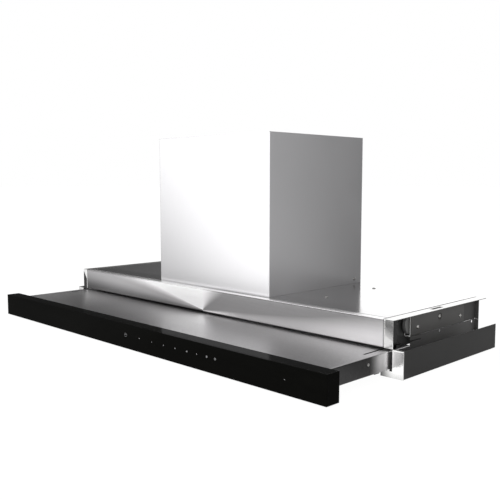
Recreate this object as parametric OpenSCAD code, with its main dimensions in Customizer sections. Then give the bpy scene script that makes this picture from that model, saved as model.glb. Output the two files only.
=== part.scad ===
// A 90 cm pull out range hood for a kitchen cabinet, drawn with its tray pulled out.
// X runs across the hood, +Y runs to the wall behind it and +Z up.
// The origin is midway across, midway front to back with the tray out, at the foot of the lower frame.

/* [Overall] */
// Width over the front panel and the lower frame
hood_w = 898; // [860:1:1000]
// Depth of the fixed body, front edge to back
body_d = 291; // [285:1:320]
// How far the tray slides between shut and fully out
travel = 150; // [120:1:155]
// Gap between the shut front panel and the body
shut_gap = 1.5; // [1.2:0.1:3]
// Thickness of the folded sheet
sheet_t = 1; // [0.8:0.1:1.2]
// Outside radius of a folded edge
fold_r = 1.8; // [1.6:0.1:2.4]

/* [Lower frame] */
// Height of the frame that hangs below the kitchen cabinet
frame_h = 43.2; // [41.7:0.1:52]
// Width of the strip that closes each side of the frame in front
strip_w = 19.5; // [16:0.5:20.5]
// Radius of the fixing holes in the frame's inner walls
fix_hole_r = 2.5; // [2:0.1:2.7]
// Distance between the two fixing holes of one side
fix_hole_space = 110; // [80:1:118]
// Height of the frame's rear piece
rear_frame_h = 38.5; // [32:0.5:39.5]
// Depth of the lips along the frame's rear piece
rear_lip = 5; // [3:0.5:6]

/* [Upper body] */
// Height of the upper body above the lower frame
upper_h = 43.4; // [42:0.1:50]
// Step in from the frame's side to the top flange, for the cabinet's board
board_step = 19.4; // [18:0.1:21]
// Width of the top flange at each side
flange_w = 19.6; // [18:0.1:21]
// Thickness of the roller track
track_t = 1.5; // [1.2:0.1:1.8]
// Width of the roller track
track_w = 11.5; // [11:0.1:13]
// Height of the track's foot above the lower frame
track_lift = 3.5; // [3:0.1:5]
// Length of the slot in the top flange
flange_slot_len = 28; // [15:1:40]
// Width of the slot in the top flange
flange_slot_w = 4; // [3:0.5:5]
// How far the front rail stands back from the frame's front edge
rail_back = 1.3; // [1:0.1:3]
// Depth of the rail's top and bottom folds
rail_fold = 14; // [10:0.5:16]
// Width of the corner piece at each end of the rail
corner_w = 16.6; // [14:0.1:18]
// Length of the mounting plate on each roller track
plate_len = 168; // [160:1:190]

/* [Tray] */
// Width over the tray
tray_w = 849.6; // [848:0.1:852]
// Length of the tray behind the front panel
tray_len = 206.5; // [200:0.5:215]
// Height of the tray's side plates
tray_h = 28; // [24.6:0.1:29.6]
// Height of the tray's top above the frame's foot
tray_top_z = 40; // [39.2:0.1:40.3]
// Length of the slots that let the frame's inner walls into the tray
tray_slot_len = 98; // [80:1:110]
// Radius of the lamp's glass
lamp_r = 27; // [20:1:32]
// Distance from the middle to each lamp
lamp_x = 235; // [150:1:300]

/* [Front panel] */
// Depth of the front panel
panel_d = 26.5; // [24:0.5:32]
// Height of the front panel
panel_h = 42.8; // [40.8:0.1:45.8]
// Thickness of the front glass
glass_t = 4; // [3:0.5:6]
// Wall of the panel's housing
housing_t = 1.6; // [1.2:0.1:2.2]
// Number of touch fields
touch_count = 9; // [4:1:11]

/* [Filters] */
// Width of the seat beside each grease filter
filter_side = 8.2; // [7.5:0.1:20]
// Depth of one grease filter
filter_d = 220; // [180:1:221]
// Thickness of a grease filter
filter_t = 9; // [7:0.5:10]

/* [Chimney] */
// Width of the chimney
chimney_w = 313.4; // [280:0.1:340]
// How far the chimney's front stands behind the body's front edge
chimney_set = 20; // [11:1:29]
// Height of the chimney above the upper body
chimney_h = 292; // [285:1:330]
// Inside radius of the outlet collar's socket
outlet_r = 75.5; // [60:0.5:76.5]
// Length of the outlet collar
collar_len = 56; // [45:1:60]

/* [Blower] */
// Radius of the blower wheel
wheel_out_r = 80; // [70:1:84]
// Width of the blower wheel
wheel_w = 120; // [90:1:130]
// Number of blades on the wheel
blade_count = 36; // [20:1:44]
// Radius of the motor
motor_r = 46; // [38:1:50]
// Length of the motor
motor_len = 52; // [40:1:56]
// Radius of the motor's shaft
shaft_r = 4; // [3:0.5:5]

/* [Hidden] */
$fn = 48;

steel = "silver";
dark_steel = "dimgray";
galvanised = "lightgray";
black = [0.08, 0.08, 0.09];
nylon = [0.16, 0.16, 0.17];

// Overrun of a cut past the face it opens
over = 1;
// Flat faces that a fold's round is drawn with
fold_faces = 4;
// Gap between a seam's two sheets
seam = 0.8;
// Gap round a piece that moves past another
run_gap = 0.5;
// Gap round a shaft that turns in a bore
shaft_gap = 0.05;
// Gap between pieces that stand side by side
side_gap = 0.3;

// Levels along Y
front_y = -(panel_d + shut_gap + travel + body_d) / 2;
panel_back_y = front_y + panel_d;
body_y = panel_back_y + shut_gap + travel;
back_y = body_y + body_d;
back_in = back_y - sheet_t;
rail_y = body_y + rail_back;
tray_rear_y = panel_back_y + tray_len;

// Levels along Z
top_z = frame_h + upper_h;
roof_z = top_z - sheet_t;
track_z = frame_h + track_lift;
track_floor_z = track_z + track_t;
tray_foot_z = tray_top_z - tray_h;
panel_lift = 1.4;
panel_z = panel_lift;

// Places along X, on the right-hand side
side_x = hood_w / 2;
strip_x = side_x - strip_w;
flange_x = side_x - board_step;
track_x = flange_x - flange_w;
track_in_x = track_x - track_t;
seam_x = track_x - seam;
wall_x = track_x;
wall_in_x = wall_x - sheet_t;
track_lip_x = track_x - track_w;
tray_x = tray_w / 2;

// Rollers: they fill the track's height and stop just short of the back panel when the tray is shut
roller_play = 0.5;
roller_space = 0.6;
track_lead = 7.5;
track_roof_z = roof_z - track_t;
track_roof_w = 7;
track_fold_r = 2;
roller_r = (track_roof_z - track_floor_z) / 2 - roller_play;
roller_z = (track_roof_z + track_floor_z) / 2;
roller_rear_y = back_in - run_gap - roller_r - travel;
roller_front_y = roller_rear_y - 2 * roller_r - roller_space;
web_y = roller_front_y - track_lead;
pin_r = 3;
pin_head_r = 4.5;
pin_head_t = 0.8;
roller_out_x = track_in_x - run_gap - pin_head_t - side_gap;
roller_in_x = track_lip_x + track_t + run_gap;
lip_h = 9;

// Hanger: a plate that rises behind the rail from the tray's top into the track
hanger_t = 1.2;
hanger_track_gap = 0.9;
hanger_x = track_lip_x - hanger_track_gap;
hanger_foot_w = 20;
hanger_foot_len = 36;
hanger_drop = 9;
hanger_top_gap = 2.5;
hanger_end = 8;
hanger_gap = 3;

// Seat that the filters close against from below
seat_z = frame_h + sheet_t;
seat_x = hanger_x - hanger_t - hanger_gap;
seat_ledge = 6;
filter_play = 1;
swing_gap = 3.2;
filter_rear_gap = 11;
filter_rear_y = back_y - filter_rear_gap;
filter_front_y = filter_rear_y - filter_d;
filter_x = (seat_x - sheet_t) / 2;
filter_w = seat_x - sheet_t - 2 * filter_side;

function reversed(p) = [for (i = [len(p) - 1:-1:0]) p[i]];
function unit(v) = v / norm(v);
function turned(v) = [-v[1], v[0]];

// The points of a path with each inner corner rounded to radius r
function rounded(p, r) = [for (i = [0:len(p) - 1])
    each (i == 0 || i == len(p) - 1) ? [p[i]] : corner(p[i - 1], p[i], p[i + 1], r)];
function corner(a, b, c, r) =
    let (u = unit(a - b), v = unit(c - b))
    let (half = acos(max(-1, min(1, u * v))) / 2)
    let (mid = b + unit(u + v) * r / sin(half))
    let (from = b + u * r / tan(half) - mid, to = b + v * r / tan(half) - mid)
    [for (k = [0:fold_faces]) mid + arc_step(from, to, k / fold_faces, r)];
function arc_step(from, to, share, r) =
    let (sweep = acos(max(-1, min(1, from * to / (r * r)))))
    (from * sin((1 - share) * sweep) + to * sin(share * sweep)) / sin(sweep);

// The path moved to its left by t, with mitred corners
function beside(p, t) = [for (i = [0:len(p) - 1])
    let (into = i == 0 ? unit(p[1] - p[0]) : unit(p[i] - p[i - 1]))
    let (out = i == len(p) - 1 ? into : unit(p[i + 1] - p[i]))
    let (n = unit(turned(into) + turned(out)))
    p[i] + n * t / (n * turned(into))];

// A folded sheet seen on end: p is one face's line and the sheet lies on its left
module folded(p, t, r) {
    q = rounded(p, r);
    polygon(concat(q, reversed(beside(q, t))));
}

module along_x(x0, x1) {
    translate([x0, 0, 0]) rotate([90, 0, 90]) linear_extrude(height = x1 - x0) children();
}

module along_y(y0, y1) {
    translate([0, y1, 0]) rotate([90, 0, 0]) linear_extrude(height = y1 - y0) children();
}

module block(lo, hi) {
    translate(lo) cube(hi - lo);
}

module rod_x(r, x0, x1, y, z) {
    translate([x0, y, z]) rotate([0, 90, 0]) cylinder(r = r, h = x1 - x0);
}

module rod_y(r, y0, y1, x, z) {
    translate([x, y0, z]) rotate([-90, 0, 0]) cylinder(r = r, h = y1 - y0);
}

module rod_z(r, z0, z1, x, y) {
    translate([x, y, z0]) cylinder(r = r, h = z1 - z0);
}

// Draws the right-hand shape on its own side, or mirrored to the left
module on_side(side) {
    if (side > 0) children();
    else mirror([1, 0, 0]) children();
}

// A pan head screw whose head stands on z = 0
screw_head_r = 3.2;
screw_head_h = 1.6;
screw_slot_w = 0.8;
module screw() {
    difference() {
        rotate_extrude() polygon([[0, 0], [screw_head_r, 0], [screw_head_r, screw_head_h / 2],
            [screw_head_r / 2, screw_head_h], [0, screw_head_h]]);
        for (a = [0, 90]) rotate([0, 0, a])
            block([-screw_head_r / 2, -screw_slot_w / 2, screw_head_h / 2],
                [screw_head_r / 2, screw_slot_w / 2, screw_head_h + over]);
    }
}

// Side channel: one folded sheet with the outer wall, the foot and the inner wall, and the front strip with
// its low toe
fix_hole_drop = 3.2;
fix_hole_z = track_z - fix_hole_drop;
fix_hole_rear = 12.1;
relief_gap = 3;
relief_y = tray_rear_y - tray_slot_len + travel + relief_gap;
relief_z = tray_top_z - sheet_t - run_gap;
strip_fold = 5;
toe_h = 9.9;
rear_flange_w = 6.5;
module side_channel() {
    color(dark_steel) {
        difference() {
            along_y(body_y + sheet_t, back_y)
                folded([[wall_in_x, track_z], [wall_in_x, 0], [side_x, 0], [side_x, frame_h]],
                    sheet_t, fold_r);
            block([wall_in_x - over, body_y, sheet_t], [wall_x + fold_r, web_y, track_z + over]);
            block([wall_in_x - over, body_y, relief_z], [wall_x + over, relief_y, tray_top_z + run_gap]);
            for (y = [back_y - fix_hole_rear, back_y - fix_hole_rear - fix_hole_space])
                rod_x(fix_hole_r, wall_in_x - over, wall_x + over, y, fix_hole_z);
        }
        along_x(strip_x, side_x) folded([[body_y, 0], [body_y, frame_h], [body_y + strip_fold, frame_h]],
            -sheet_t, fold_r);
        block([wall_in_x, body_y, 0], [strip_x + sheet_t, body_y + sheet_t, toe_h]);
        block([wall_in_x, back_in, fold_r], [wall_x + rear_flange_w, back_y, track_z]);
    }
}

// Roller track: a folded C that opens inwards, with an upturned lip on its floor
module roller_track() {
    color(dark_steel) along_y(web_y, back_in)
        folded([[track_x - track_roof_w, roof_z], [track_x, roof_z], [track_x, track_z],
            [track_lip_x, track_z], [track_lip_x, track_z + lip_h]], -track_t, track_fold_r);
}

// Side bracket: the top flange and the mounting plate folded down from it onto the track's web
flange_slot_back = 151;
flange_slot_y = back_y - flange_slot_back;
plate_edge = 1.5;
plate_screw_in = 18.9;
plate_screw_space = 135.9;
plate_screw_drop = 6;
plate_window_r = 6;
plate_window_up = 2.2;
plate_screw_y = web_y + plate_screw_in;
plate_window_y = plate_screw_y + plate_screw_space / 2;
plate_window_z = roller_z + plate_window_up;
module side_bracket() {
    color(dark_steel) difference() {
        union() {
            along_y(web_y, web_y + plate_len)
                folded([[track_x, track_z + plate_edge], [track_x, top_z], [flange_x, top_z]],
                    -sheet_t, fold_r);
            block([track_x, rail_y + sheet_t, roof_z], [flange_x, web_y, top_z]);
            block([track_x, web_y + plate_len, roof_z], [flange_x, back_y, top_z]);
            block([track_x, back_in, track_z + side_gap], [track_x + rear_flange_w, back_y, top_z]);
        }
        for (end = [-1, 1]) rod_z(flange_slot_w / 2, roof_z - over, top_z + over, (track_x + flange_x) / 2,
            flange_slot_y + end * (flange_slot_len - flange_slot_w) / 2);
        translate([(track_x + flange_x) / 2, flange_slot_y, roof_z])
            block([-flange_slot_w / 2, -(flange_slot_len - flange_slot_w) / 2, -over],
                [flange_slot_w / 2, (flange_slot_len - flange_slot_w) / 2, sheet_t + over]);
        rod_x(plate_window_r, track_x - over, track_x + sheet_t + over, plate_window_y, plate_window_z);
    }
}

// Screws on the mounting plates, and the levelling screw in each plate's window
module side_screws() {
    color("white") for (side = [-1, 1]) on_side(side) {
        for (y = [plate_screw_y, plate_screw_y + plate_screw_space])
            translate([track_x + sheet_t, y, roller_z - plate_screw_drop]) rotate([0, 90, 0]) screw();
        translate([track_x, plate_window_y, plate_window_z]) rotate([0, 90, 0]) screw();
    }
}

// Corner piece: an angle that closes the body's front corner, beside the rail
corner_return = 9;
corner_x = flange_x - corner_w;
module corner_piece() {
    color(steel) difference() {
        translate([0, 0, frame_h]) linear_extrude(height = upper_h)
            folded([[corner_x, rail_y], [flange_x, rail_y], [flange_x, rail_y + corner_return]],
                sheet_t, fold_r);
        block([corner_x - over, rail_y + sheet_t, roof_z], [flange_x + over, back_y, top_z + over]);
    }
}

// Front rail: a folded sheet across the front, between the corner pieces
module front_rail() {
    color(steel) difference() {
        along_x(-corner_x + side_gap, corner_x - side_gap) folded([[rail_y + rail_fold, frame_h],
            [rail_y, frame_h], [rail_y, top_z], [rail_y + rail_fold, top_z]], -sheet_t, fold_r);
        for (side = [-1, 1]) on_side(side)
            block([seam_x, rail_y + sheet_t, frame_h - over], [corner_x + over, back_y, top_z + over]);
    }
}

// Top panel, with the opening under the chimney
open_side = 9.7;
open_end = 23;
chimney_x = chimney_w / 2;
chimney_y = body_y + chimney_set;
chimney_foot = 12;
top_open_w = chimney_w - 2 * (chimney_foot + open_side);
chimney_d = back_y - chimney_y;
top_open_d = chimney_d - 2 * open_end;
top_screw_share = 0.274;
top_screw_x = chimney_x + top_screw_share * (seam_x - chimney_x);
top_screw_back = 51;
top_screw_space = 145.2;
top_screw_y = back_y - top_screw_back - top_screw_space;
chimney_screw_back = 21.3;
chimney_screw_up = 8.7;
module top_panel() {
    color(steel) difference() {
        block([-seam_x, rail_y + rail_fold + seam, roof_z], [seam_x, back_y, top_z]);
        block([-top_open_w / 2, chimney_y + chimney_d / 2 - top_open_d / 2, roof_z - over],
            [top_open_w / 2, chimney_y + chimney_d / 2 + top_open_d / 2, top_z + over]);
    }
}
module top_screws() {
    color("gray") for (x = [-top_screw_x, top_screw_x], y = [top_screw_y, top_screw_y + top_screw_space])
        translate([x, y, top_z]) screw();
    color("gray") for (side = [-1, 1]) on_side(side)
        translate([chimney_w / 2, back_y - chimney_screw_back, top_z + chimney_screw_up])
            rotate([0, 90, 0]) screw();
}

// Back panel of the upper body
gland_in = 93.4;
gland_x = seat_x - gland_in;
gland_z = (top_z + seat_z) / 2;
gland_r = 9;
module back_panel() {
    color(galvanised) difference() {
        block([-wall_in_x, back_in, seat_z], [wall_in_x, back_y, roof_z]);
        rod_y(gland_r, back_in - over, back_y + over, gland_x, gland_z);
    }
}

// Rear frame: a shallow channel between the two side channels
module rear_frame() {
    color(galvanised) along_x(-wall_in_x, wall_in_x) folded([[back_y - rear_lip, 0], [back_y, 0],
        [back_y, rear_frame_h], [back_y - rear_lip, rear_frame_h]], sheet_t, fold_r);
}

// Filter seat: the floor of the upper body, with a raised seat and two pivot holes for each filter
seat_front_y = rail_y + fold_r + side_gap;
seat_ledge_z = seat_z + filter_t + filter_play;
pivot_r = 2;
pivot_in = 2.5;
pivot_y = filter_rear_y - pivot_in;
pivot_z = seat_z + filter_t / 2;
bolt_w = 24;
bolt_t = 2.5;
bolt_reach = 3;
bolt_z = seat_z + filter_t / 2 - bolt_t / 2;
module seat_block(x) {
    w = filter_w / 2 + filter_play + sheet_t;
    block([x - w, filter_front_y - filter_play - sheet_t, seat_z],
        [x + w, filter_rear_y + swing_gap + sheet_t, seat_ledge_z + sheet_t]);
}
module seat_hole(x) {
    w = filter_w / 2 + filter_play;
    block([x - w, filter_front_y - filter_play, seat_z - over],
        [x + w, filter_rear_y + swing_gap, seat_ledge_z]);
    block([x - w + seat_ledge, filter_front_y + seat_ledge, seat_z],
        [x + w - seat_ledge, filter_rear_y - seat_ledge, top_z]);
    reach = w + sheet_t + side_gap;
    rod_x(pivot_r + shaft_gap, x - reach, x + reach, pivot_y, pivot_z);
    block([x - bolt_w / 2 - run_gap, filter_front_y - filter_play - sheet_t - over, bolt_z - run_gap],
        [x + bolt_w / 2 + run_gap, filter_front_y, bolt_z + bolt_t + run_gap]);
}
module filter_seat() {
    color(galvanised) difference() {
        union() {
            block([-seat_x, seat_front_y, seat_z], [seat_x, back_in, seat_z + sheet_t]);
            for (side = [-1, 1]) on_side(side)
                block([seat_x - sheet_t, seat_front_y, seat_z], [seat_x, back_in, roof_z]);
            for (side = [-1, 1]) seat_block(side * filter_x);
        }
        for (side = [-1, 1]) seat_hole(side * filter_x);
    }
}

// Front glides: plastic blocks on the frame's foot that carry the folds under the tray's side plates
glide_len = 20;
glide_back = 18;
glide_in = 12;
glide_out = 1.2;
glide_y = body_y + glide_back;
pad_len = 12;
pad_w = 5;
pad_t = 1.3;
pad_in = 116.5;
pad_y = panel_back_y + pad_in;
module front_glides() {
    color(black) for (side = [-1, 1]) on_side(side) difference() {
        block([tray_x - glide_in, glide_y, sheet_t],
            [tray_x + glide_out, glide_y + glide_len, tray_foot_z - side_gap]);
        block([tray_x - pad_w - side_gap, glide_y - over, tray_foot_z - pad_t - side_gap],
            [tray_x + glide_out + over, glide_y + glide_len + over, tray_foot_z + over]);
    }
}

// Chimney: a wrap for the front and sides, a back and a top with the outlet
chimney_top_z = top_z + chimney_h;
module chimney_wrap() {
    color(steel) {
        translate([0, 0, top_z]) linear_extrude(height = chimney_h - sheet_t)
            folded([[-chimney_x, back_in], [-chimney_x, chimney_y], [chimney_x, chimney_y],
                [chimney_x, back_in]], sheet_t, fold_r);
        for (side = [-1, 1]) on_side(side)
            block([chimney_x - chimney_foot, chimney_y + fold_r, top_z],
                [chimney_x - sheet_t, back_in, top_z + sheet_t]);
    }
}
module chimney_back() {
    color(galvanised) block([-chimney_x, back_in, top_z], [chimney_x, back_y, chimney_top_z - sheet_t]);
}
outlet_back = 159;
outlet_y = back_y - outlet_back;
collar_t = 2;
collar_bead = 5;
socket_deep = 32;
socket_step = 2.5;
ledge_w = 3;
ledge_t = 2;
collar_z = chimney_top_z - collar_len;
flap_t = 1.5;
flap_gap = 1.2;
flap_rod_r = 1.5;
flap_z = collar_z + ledge_t + side_gap + flap_t / 2;
module chimney_top() {
    color(steel) difference() {
        block([-chimney_x, chimney_y, chimney_top_z - sheet_t], [chimney_x, back_y, chimney_top_z]);
        rod_z(outlet_r + collar_t + side_gap, chimney_top_z - sheet_t - over, chimney_top_z + over,
            0, outlet_y);
    }
}

// Outlet collar: a socket for the duct, a step that stops it, the flaps' rod and the ledge they rest on
module outlet_collar() {
    neck_r = outlet_r - socket_step;
    bead_r = outlet_r + collar_t + collar_bead;
    rod_end = neck_r + collar_t / 2;
    rim_z = chimney_top_z - sheet_t;
    color(black) {
        difference() {
            translate([0, outlet_y, 0]) rotate_extrude($fn = 96) polygon([[neck_r - ledge_w, collar_z],
                [outlet_r + collar_t, collar_z], [outlet_r + collar_t, rim_z - collar_t],
                [bead_r, rim_z - collar_t], [bead_r, rim_z], [outlet_r + collar_t, rim_z],
                [outlet_r + collar_t, chimney_top_z], [outlet_r, chimney_top_z],
                [outlet_r, chimney_top_z - socket_deep], [neck_r, chimney_top_z - socket_deep],
                [neck_r, collar_z + ledge_t], [neck_r - ledge_w, collar_z + ledge_t]]);
            rod_x(flap_rod_r + shaft_gap, -rod_end - shaft_gap, rod_end + shaft_gap, outlet_y, flap_z);
        }
        rod_x(flap_rod_r, -rod_end, rod_end, outlet_y, flap_z);
    }
}

// Backdraught flaps: half discs that hang on the collar's rod and open upwards
knuckle_r = 3;
knuckle_w = 14;
knuckle_shares = [0.19, 0.49];
module flap(turn, share) {
    reach = outlet_r - socket_step - flap_gap;
    inner = knuckle_r + flap_gap;
    color(nylon) translate([0, outlet_y, flap_z]) rotate([0, 0, turn]) {
        intersection() {
            rod_z(reach, -flap_t / 2, flap_t / 2, 0, 0);
            block([-reach, inner, -flap_t], [reach, reach, flap_t]);
        }
        for (side = [-1, 1]) translate([side * share * reach, 0, 0]) difference() {
            union() {
                rod_x(knuckle_r, -knuckle_w / 2, knuckle_w / 2, 0, 0);
                block([-knuckle_w / 2, 0, -flap_t / 2], [knuckle_w / 2, inner + flap_gap, flap_t / 2]);
            }
            rod_x(flap_rod_r + shaft_gap, -knuckle_w, knuckle_w, 0, 0);
        }
    }
}

// Blower scroll: a spiral wrap that opens upwards into the outlet, between two side plates
blower_back = 127;
blower_up = 122;
blower_y = back_y - blower_back;
blower_z = top_z + blower_up;
wheel_side_gap = 12;
scroll_w = wheel_w + 2 * wheel_side_gap;
scroll_t = 1.5;
cutoff_gap = 10;
mouth_gap = 36;
scroll_small_r = wheel_out_r + cutoff_gap;
scroll_large_r = wheel_out_r + mouth_gap;
scroll_sweep = 290;
scroll_steps = 36;
throat_drop = 24;
throat_top_z = blower_z + scroll_large_r - throat_drop;
throat_front_y = blower_y - scroll_large_r;
throat_rear_y = blower_y - scroll_small_r * cos(scroll_sweep);
inlet_step = 12;
inlet_r = wheel_out_r - inlet_step;
inlet_lip = 9;
function scroll_r(a) = scroll_large_r + (scroll_small_r - scroll_large_r) * a / scroll_sweep;
function scroll_line() = concat([[throat_front_y, throat_top_z]],
    [for (k = [0:scroll_steps]) let (a = scroll_sweep * k / scroll_steps)
        [blower_y - scroll_r(a) * cos(a), blower_z - scroll_r(a) * sin(a)]],
    [[throat_rear_y, throat_top_z]]);
module scroll_wrap() {
    color(galvanised) along_x(-scroll_w / 2 + scroll_t, scroll_w / 2 - scroll_t)
        polygon(concat(scroll_line(), reversed(beside(scroll_line(), -scroll_t))));
}
module scroll_side(side) {
    color(galvanised) on_side(side) difference() {
        union() {
            along_x(scroll_w / 2 - scroll_t, scroll_w / 2) polygon(beside(scroll_line(), -scroll_t));
            rod_x(inlet_r + scroll_t, scroll_w / 2 - scroll_t, scroll_w / 2 + inlet_lip,
                blower_y, blower_z);
        }
        rod_x(inlet_r, scroll_w / 2 - scroll_t - over, scroll_w / 2 + inlet_lip + over, blower_y, blower_z);
    }
}

// Feet that carry the scroll on the top panel, one at each side
foot_w = 60;
foot_h = 46;
foot_lap = 12;
module blower_feet() {
    color(dark_steel) for (side = [-1, 1]) on_side(side)
        along_y(blower_y - foot_w / 2, blower_y + foot_w / 2) folded([[scroll_w / 2, top_z + foot_h],
            [scroll_w / 2, top_z], [top_open_w / 2 + foot_lap / 2, top_z]], scroll_t, fold_r + scroll_t);
}

// Outlet duct: from the scroll's square throat to the round collar
duct_t = 1.5;
duct_flat = 2;
module duct_shape(extra, down, up) {
    hull() {
        block([-scroll_w / 2 + scroll_t - extra, throat_front_y - extra, throat_top_z - down],
            [scroll_w / 2 - scroll_t + extra, throat_rear_y + extra, throat_top_z + duct_flat]);
        translate([0, outlet_y, collar_z - duct_flat])
            cylinder(r = outlet_r - socket_step + extra, h = duct_flat + up, $fn = 32);
    }
}
module outlet_duct() {
    color(nylon) difference() {
        duct_shape(duct_t, 0, 0);
        duct_shape(0, over, over);
    }
}

// Blower wheel: curved blades between a middle disc and two end rings
blade_deep = 14;
blade_t = 0.9;
ring_t = 2;
ring_deep = 5;
hub_r = 12;
hub_len = 16;
blade_lean = 18;
blade_steps = 4;
function blade_point(share, extra) =
    let (r = wheel_out_r - blade_deep + share * blade_deep, a = blade_lean * share * share)
    let (turn = a + 2 * blade_lean * share)
    [r * cos(a) - extra * sin(turn), r * sin(a) + extra * cos(turn)];
module impeller() {
    color(nylon) translate([0, blower_y, blower_z]) rotate([0, 90, 0]) {
        difference() {
            union() {
                for (k = [0:blade_count - 1]) rotate([0, 0, 360 * k / blade_count])
                    translate([0, 0, -wheel_w / 2 + ring_t / 2]) linear_extrude(height = wheel_w - ring_t)
                        polygon(concat([for (s = [0:blade_steps]) blade_point(s / blade_steps, 0)],
                            [for (s = [blade_steps:-1:0]) blade_point(s / blade_steps, blade_t)]));
                for (z = [-wheel_w / 2, wheel_w / 2 - ring_t]) difference() {
                    rod_z(wheel_out_r + ring_t, z, z + ring_t, 0, 0);
                    rod_z(wheel_out_r - ring_deep, z - over, z + ring_t + over, 0, 0);
                }
                rod_z(wheel_out_r - blade_deep / 2, -ring_t / 2, ring_t / 2, 0, 0);
                rod_z(hub_r, -ring_t / 2, hub_len, 0, 0);
            }
            rod_z(shaft_r, -ring_t - over, hub_len + over, 0, 0);
        }
    }
}

// Motor: inside the left half of the wheel, on a three armed mount across the left inlet
motor_out = 2;
motor_x = -wheel_w / 2 - motor_out;
motor_nose = 4;
vent_w = 5;
vent_deep = 2.5;
module motor() {
    color(galvanised) difference() {
        union() {
            rod_x(motor_r, motor_x, motor_x + motor_len, blower_y, blower_z);
            rod_x(motor_r / 2, motor_x + motor_len, motor_x + motor_len + motor_nose, blower_y, blower_z);
        }
        rod_x(shaft_r + shaft_gap, motor_x + motor_len / 2, motor_x + motor_len + motor_nose + over,
            blower_y, blower_z);
        for (k = [0:11]) translate([0, blower_y, blower_z]) rotate([30 * k, 0, 0])
            block([motor_x + motor_len / 4, -vent_w / 2, motor_r - vent_deep],
                [motor_x + 3 * motor_len / 4, vent_w / 2, motor_r + over]);
    }
}
mount_arm_w = 14;
mount_t = 2;
module motor_mount() {
    x1 = -scroll_w / 2 - inlet_lip;
    color(dark_steel) {
        difference() {
            union() {
                rod_x(motor_r, x1 - mount_t, motor_x, blower_y, blower_z);
                for (a = [90, 210, 330]) translate([0, blower_y, blower_z]) rotate([a, 0, 0])
                    block([x1 - mount_t, -mount_arm_w / 2, 0], [x1, mount_arm_w / 2, inlet_r + scroll_t]);
            }
            rod_x(motor_r - 2 * mount_t, x1 - mount_t - over, motor_x - mount_t, blower_y, blower_z);
        }
    }
}

// Shaft that carries the wheel
module motor_shaft() {
    color("white") rod_x(shaft_r, motor_x + motor_len / 2 + shaft_r, hub_len + shaft_r, blower_y, blower_z);
}

// Control box under the top panel, with its board and the motor's capacitor
box_w = 120;
box_len = 170;
box_h = 26;
box_t = 2;
box_x = top_screw_x;
box_y = top_screw_y + top_screw_space / 2;
module control_box() {
    color(black) difference() {
        block([box_x - box_w / 2, box_y - box_len / 2, roof_z - box_h],
            [box_x + box_w / 2, box_y + box_len / 2, roof_z]);
        block([box_x - box_w / 2 + box_t, box_y - box_len / 2 + box_t, roof_z - box_h + box_t],
            [box_x + box_w / 2 - box_t, box_y + box_len / 2 - box_t, roof_z + over]);
    }
}
board_t = 1.6;
board_lift = 4;
chip_h = 8;
board_len_share = 0.62;
// Each chip's middle and half size across and along the board
chip_shares = [[-0.3, -0.35, 0.06, 0.05], [0.15, -0.3, 0.1, 0.075], [-0.35, 0.1, 0.075, 0.06],
    [0.2, 0.25, 0.075, 0.04]];
module control_board() {
    foot = roof_z - box_h + box_t;
    z = foot + board_lift;
    w = box_w - 2 * box_t - 2 * side_gap;
    l = (box_len - 2 * box_t) * board_len_share;
    y = box_y - box_len / 2 + box_t + side_gap + l / 2;
    post_x = w / 2 - 2 * board_lift;
    color("darkgreen") {
        block([box_x - w / 2, y - l / 2, z], [box_x + w / 2, y + l / 2, z + board_t]);
        for (c = chip_shares) block([box_x + (c[0] - c[2]) * w, y + (c[1] - c[3]) * l, z],
            [box_x + (c[0] + c[2]) * w, y + (c[1] + c[3]) * l, z + board_t + chip_h]);
        for (side = [-1, 1]) block([box_x + side * post_x - board_lift / 2, y - l / 3, foot],
            [box_x + side * post_x + board_lift / 2, y + l / 3, z]);
    }
}
cap_r = 9.5;
cap_len = 70;
module capacitor() {
    color("white") rod_x(cap_r, box_x - cap_len / 2, box_x + cap_len / 2,
        box_y + box_len / 2 - box_t - 2 * cap_r, roof_z - box_h + box_t + cap_r);
}

// Cable gland in the back panel
gland_bore_r = 4;
gland_flange_r = 12;
gland_flange_t = 2;
gland_len = 8;
module cable_gland() {
    color(black) translate([gland_x, back_in, gland_z]) rotate([-90, 0, 0]) rotate_extrude() polygon([
        [gland_bore_r, -gland_len], [gland_r - 2 * side_gap, -gland_len], [gland_r - side_gap, sheet_t],
        [gland_bore_r, sheet_t]]);
    color(black) translate([gland_x, back_in, gland_z]) rotate([-90, 0, 0]) difference() {
        rod_z(gland_flange_r, -gland_flange_t, 0, 0, 0);
        rod_z(gland_bore_r, -gland_flange_t - over, over, 0, 0);
    }
}

// Tray top: one folded sheet with the brushed top, both side plates and the folds they run on,
// slotted for the frame's inner walls
slot_side = 1;
tray_fold = 11;
module tray_top() {
    color(steel) difference() {
        along_y(panel_back_y, tray_rear_y)
            folded([[-tray_x + tray_fold, tray_foot_z], [-tray_x, tray_foot_z], [-tray_x, tray_top_z],
                [tray_x, tray_top_z], [tray_x, tray_foot_z], [tray_x - tray_fold, tray_foot_z]],
                -sheet_t, fold_r);
        for (side = [-1, 1]) on_side(side)
            block([wall_in_x - slot_side, tray_rear_y - tray_slot_len, tray_top_z - fold_r],
                [wall_x + slot_side, tray_rear_y + over, tray_top_z + over]);
    }
}

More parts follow.
